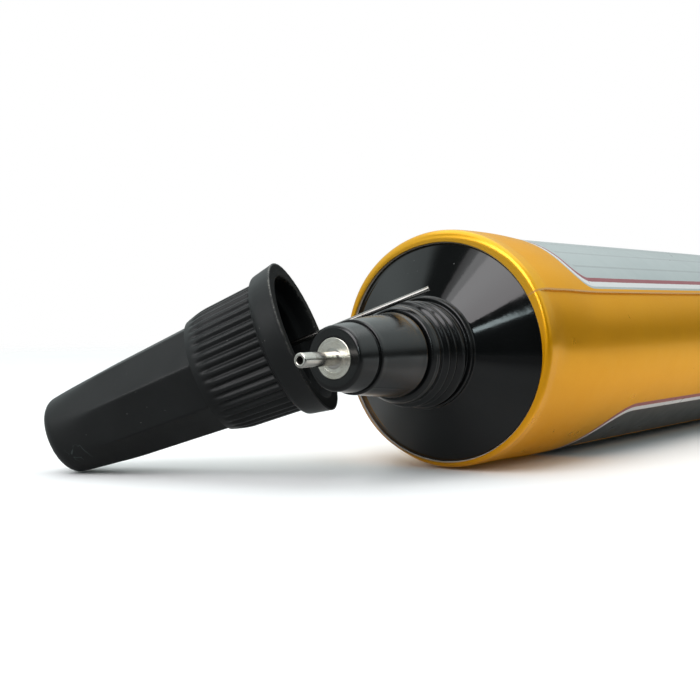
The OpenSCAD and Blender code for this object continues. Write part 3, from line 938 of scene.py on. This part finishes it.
sleeve = make_sleeve()
dress(sleeve, sleeve_material())
shoulder = make_shoulder()
dress(shoulder, black_plastic("shoulder_gloss_black", (0.0024, 0.0027, 0.0028), 0.08, 0.025, 1500.0, 0.000004, 0.10, 0.42, matt=0.12))
nozzle = make_nozzle()
dress(nozzle, black_plastic("nozzle_satin_black", (0.0030, 0.0032, 0.0032), 0.18, 0.04, 3200.0, 0.000006, 0.06, 0.44))
ferrule = make_ferrule()
dress(ferrule, ferrule_material())
needle = make_needle()
dress(needle, needle_material())
pin = make_pin()
dress(pin, pin_material())
cap = make_cap()
dress(cap, black_plastic("cap_matt_black", (0.0050, 0.0056, 0.0058), 0.45, 0.05, 5200.0, 0.000010, 0.28, 0.34, matt=0.38, wear_and_sheen=True, scuff=True))

for name, mat in (("adhesive", glue_material()), ("barrier_insert", barrier_material())):
    obj = frame["nodes"][name]
    if not hasattr(obj, "data"):
        obj = bpy.data.objects[obj if isinstance(obj, str) else name]
    if len(obj.material_slots):
        for sl in obj.material_slots:
            sl.material = mat
    else:
        obj.data.materials.append(mat)


# ------------------------------------------------------------------- stage
def make_floor(name, z, low, high, camera):
    """One sheet is what the view sees; a dimmer one, nearer a real room's floor, is what the part mirrors."""
    rows = [np.array([[r * math.cos(a), r * math.sin(a), z] for a in np.arange(96) * TAU / 96]) for r in (0.02, 0.1, 0.2, 0.35, 0.6)]
    bm = bmesh.new()
    vs = [[bm.verts.new(p) for p in ring] for ring in rows]
    bm.faces.new(vs[0])
    for a, b in zip(vs[:-1], vs[1:]):
        for k in range(96):
            bm.faces.new((a[k], b[k], b[(k + 1) % 96], a[(k + 1) % 96]))
    mesh = bpy.data.meshes.new(name)
    bm.to_mesh(mesh)
    bm.free()
    obj = bpy.data.objects.new(name, mesh)
    bpy.context.scene.collection.objects.link(obj)
    s = Shade(name + "_pale")
    ln = s.new("ShaderNodeVectorMath", operation="LENGTH")
    s.put(ln.inputs[0], s.co)
    fade = s.span(ln.outputs["Value"], 0.16, 0.5)
    tone = s.mix(s.noise(60.0, 3.0), rgb(low, low, low), rgb(high, high, high))
    if not camera:
        # the table falls into the dark side of the room
        dot = s.new("ShaderNodeVectorMath", operation="DOT_PRODUCT")
        s.put(dot.inputs[0], s.co)
        dot.inputs[1].default_value = (-0.81, -0.587, 0.0)
        near = s.span(dot.outputs["Value"], 0.028, 0.085, 0.0, 0.62)
        far = s.span(dot.outputs["Value"], 0.085, 0.165, 0.0, 0.30)
        left = s.new("ShaderNodeVectorMath", operation="DOT_PRODUCT")
        s.put(left.inputs[0], s.co)
        left.inputs[1].default_value = (-0.576, 0.817, 0.0)
        side = s.span(left.outputs["Value"], 0.042, 0.062, 0.0, 0.40)
        shade = s.math("ADD", near, far)
        shade = s.math("ADD", shade, s.math("MULTIPLY", side, s.math("SUBTRACT", 1.0, shade)))
        tone = s.mix(shade, tone, rgb(0.0, 0.0, 0.0))
        # painted light: the bounce sheet glows here, standing in for light that the table throws back beside the tube's
        # nose
        sep = s.new("ShaderNodeSeparateXYZ")
        s.put(sep.inputs[0], s.co)
        glow = s.math("MULTIPLY", s.span(sep.outputs[1], -0.011, -0.018, 0.0, 0.26), s.span(sep.outputs[1], -0.026, -0.040, 1.0, 0.0))
        slant = s.math("MULTIPLY_ADD", sep.outputs[1], 1.2, s.math("ADD", sep.outputs[0], 0.0196))
        glow = s.math("MULTIPLY", glow, s.math("MULTIPLY", s.span(sep.outputs[0], -0.061, -0.055), s.span(slant, -0.056, -0.046, 1.0, 0.0)))
        s.set(Emission_Strength=glow)
        s.b.inputs["Emission Color"].default_value = rgb(1.0, 1.0, 1.0)
    s.set(Base_Color=tone, Roughness=s.span(s.noise(300.0), 0.3, 0.7, 0.75, 0.9))
    s.b.inputs["Specular IOR Level"].default_value = 0.2
    clear = s.new("ShaderNodeBsdfTransparent")
    both = s.new("ShaderNodeMixShader")
    s.put(both.inputs[0], fade)
    s.put(both.inputs[1], s.b.outputs[0])
    s.put(both.inputs[2], clear.outputs[0])
    out = next(n for n in s.t.nodes if n.type == "OUTPUT_MATERIAL")
    s.put(out.inputs["Surface"], both.outputs[0])
    obj.data.materials.append(s.m)
    obj.visible_camera = camera
    obj.visible_diffuse = obj.visible_glossy = obj.visible_transmission = not camera
    obj.visible_shadow = False


make_floor("floor", -0.00004, 0.80, 0.83, True)
make_floor("floor_bounce", -0.00006, 0.66, 0.69, False)


def area(name, direction, dist, size, radiance, colour=(1, 1, 1), along=None, at=(-0.04, 0.0, 0.014), aside=(0.0, 0.0)):
    """A soft panel seen from `at` in a direction; its own X lies along `along`."""
    data = bpy.data.lights.new(name, "AREA")
    data.shape = "RECTANGLE"
    data.size, data.size_y = size
    data.energy = radiance * math.pi * size[0] * size[1]
    data.color = colour
    obj = bpy.data.objects.new(name, data)
    bpy.context.scene.collection.objects.link(obj)
    z = Vector(direction).normalized()
    x = Vector(along or (0, 0, 1))
    x = (x - z * x.dot(z)).normalized()
    y = z.cross(x)
    p = Vector(at) + z * dist + x * aside[0] + y * aside[1]
    obj.matrix_world = Matrix(((x.x, y.x, z.x, p.x), (x.y, y.y, z.y, p.y), (x.z, y.z, z.z, p.z), (0, 0, 0, 1)))
    return obj


# key panel up in front of the tube's nose with a soft left side, a narrow strip, a broad top panel
for name, u0, u1, radiance in (("key", -0.03, 0.258, 4.8), ("key_side", -0.085, -0.03, 2.9), ("key_edge", -0.14, -0.085, 1.0)):
    area(name, (-0.73, 0.07, 0.68), 0.50, (u1 - u0, 0.42), radiance, (1.0, 0.965, 0.985), along=(-0.34, -0.73, -0.28), aside=((u0 + u1) / 2, 0.0))
area("strip", (-0.864, -0.385, 0.3135), 0.6, (0.038, 0.25), 8.5, (0.82, 0.975, 1.0), along=(-0.20, -0.75, -0.6), aside=(0.0, -0.047))
area("top", (0.25, 0.1, 1.0), 0.75, (0.9, 0.9), 1.1, (1.0, 1.0, 1.0), along=(1, 0, 0))


def make_world():
    world = bpy.data.worlds.new("studio")
    bpy.context.scene.world = world
    world.use_nodes = True
    t = world.node_tree
    t.nodes.clear()

    def new(kind, **p):
        n = t.nodes.new(kind)
        for k, v in p.items():
            setattr(n, k, v)
        return n

    def put(sock, v):
        if isinstance(v, bpy.types.NodeSocket):
            t.links.new(v, sock)
        else:
            sock.default_value = v

    def span(x, a, b, lo, hi):
        n = new("ShaderNodeMapRange", interpolation_type="SMOOTHSTEP")
        for key, v in (("Value", x), ("From Min", a), ("From Max", b), ("To Min", lo), ("To Max", hi)):
            put(n.inputs[key], v)
        return n.outputs["Result"]

    def mul(a, b):
        n = new("ShaderNodeMath", operation="MULTIPLY")
        put(n.inputs[0], a)
        put(n.inputs[1], b)
        return n.outputs[0]

    co = new("ShaderNodeTexCoord").outputs["Generated"]
    unit = new("ShaderNodeVectorMath", operation="NORMALIZE")
    put(unit.inputs[0], co)
    co = unit.outputs["Vector"]

    def facing(v):
        n = new("ShaderNodeVectorMath", operation="DOT_PRODUCT")
        put(n.inputs[0], co)
        n.inputs[1].default_value = Vector(v).normalized()
        return n.outputs["Value"]

    z = facing((0, 0, 1))
    level = span(z, -0.02, 0.0, 0.85, 0.0)
    sky = span(z, 0.02, 0.55, 0.38, 0.98)
    above = span(z, -0.02, 0.0, 0.0, 1.0)
    add = new("ShaderNodeMath", operation="ADD")
    put(add.inputs[0], level)
    put(add.inputs[1], mul(sky, above))
    tone = add.outputs[0]
    # a dark room behind the view, and a dark gap beside the key panel
    dark = span(facing((-0.80, -0.58, 0.10)), 0.62, 0.90, 0.0, 0.94)
    gap = span(facing((-0.50, 0.43, 0.752)), 0.955, 0.99, 0.0, 0.9)
    # a dark low wall on the right of the view
    wall = mul(mul(span(facing((0.75, -0.66, 0.0)), 0.3, 0.75, 0.0, 1.0), span(z, 0.10, 0.27, 0.72, 0.0)), above)
    for m in (dark, gap, wall):
        inv = new("ShaderNodeMath", operation="SUBTRACT")
        inv.inputs[0].default_value = 1.0
        put(inv.inputs[1], m)
        tone = mul(tone, inv.outputs[0])
    room = new("ShaderNodeBackground")
    room.inputs["Color"].default_value = (0.90, 1.0, 1.0, 1.0)
    put(room.inputs["Strength"], tone)
    sheet = new("ShaderNodeBackground")
    sheet.inputs["Color"].default_value = (1, 1, 1, 1)
    sheet.inputs["Strength"].default_value = 1.0
    mix = new("ShaderNodeMixShader")
    put(mix.inputs[0], new("ShaderNodeLightPath").outputs["Is Camera Ray"])
    put(mix.inputs[1], room.outputs[0])
    put(mix.inputs[2], sheet.outputs[0])
    out = new("ShaderNodeOutputWorld")
    put(out.inputs["Surface"], mix.outputs[0])


make_world()
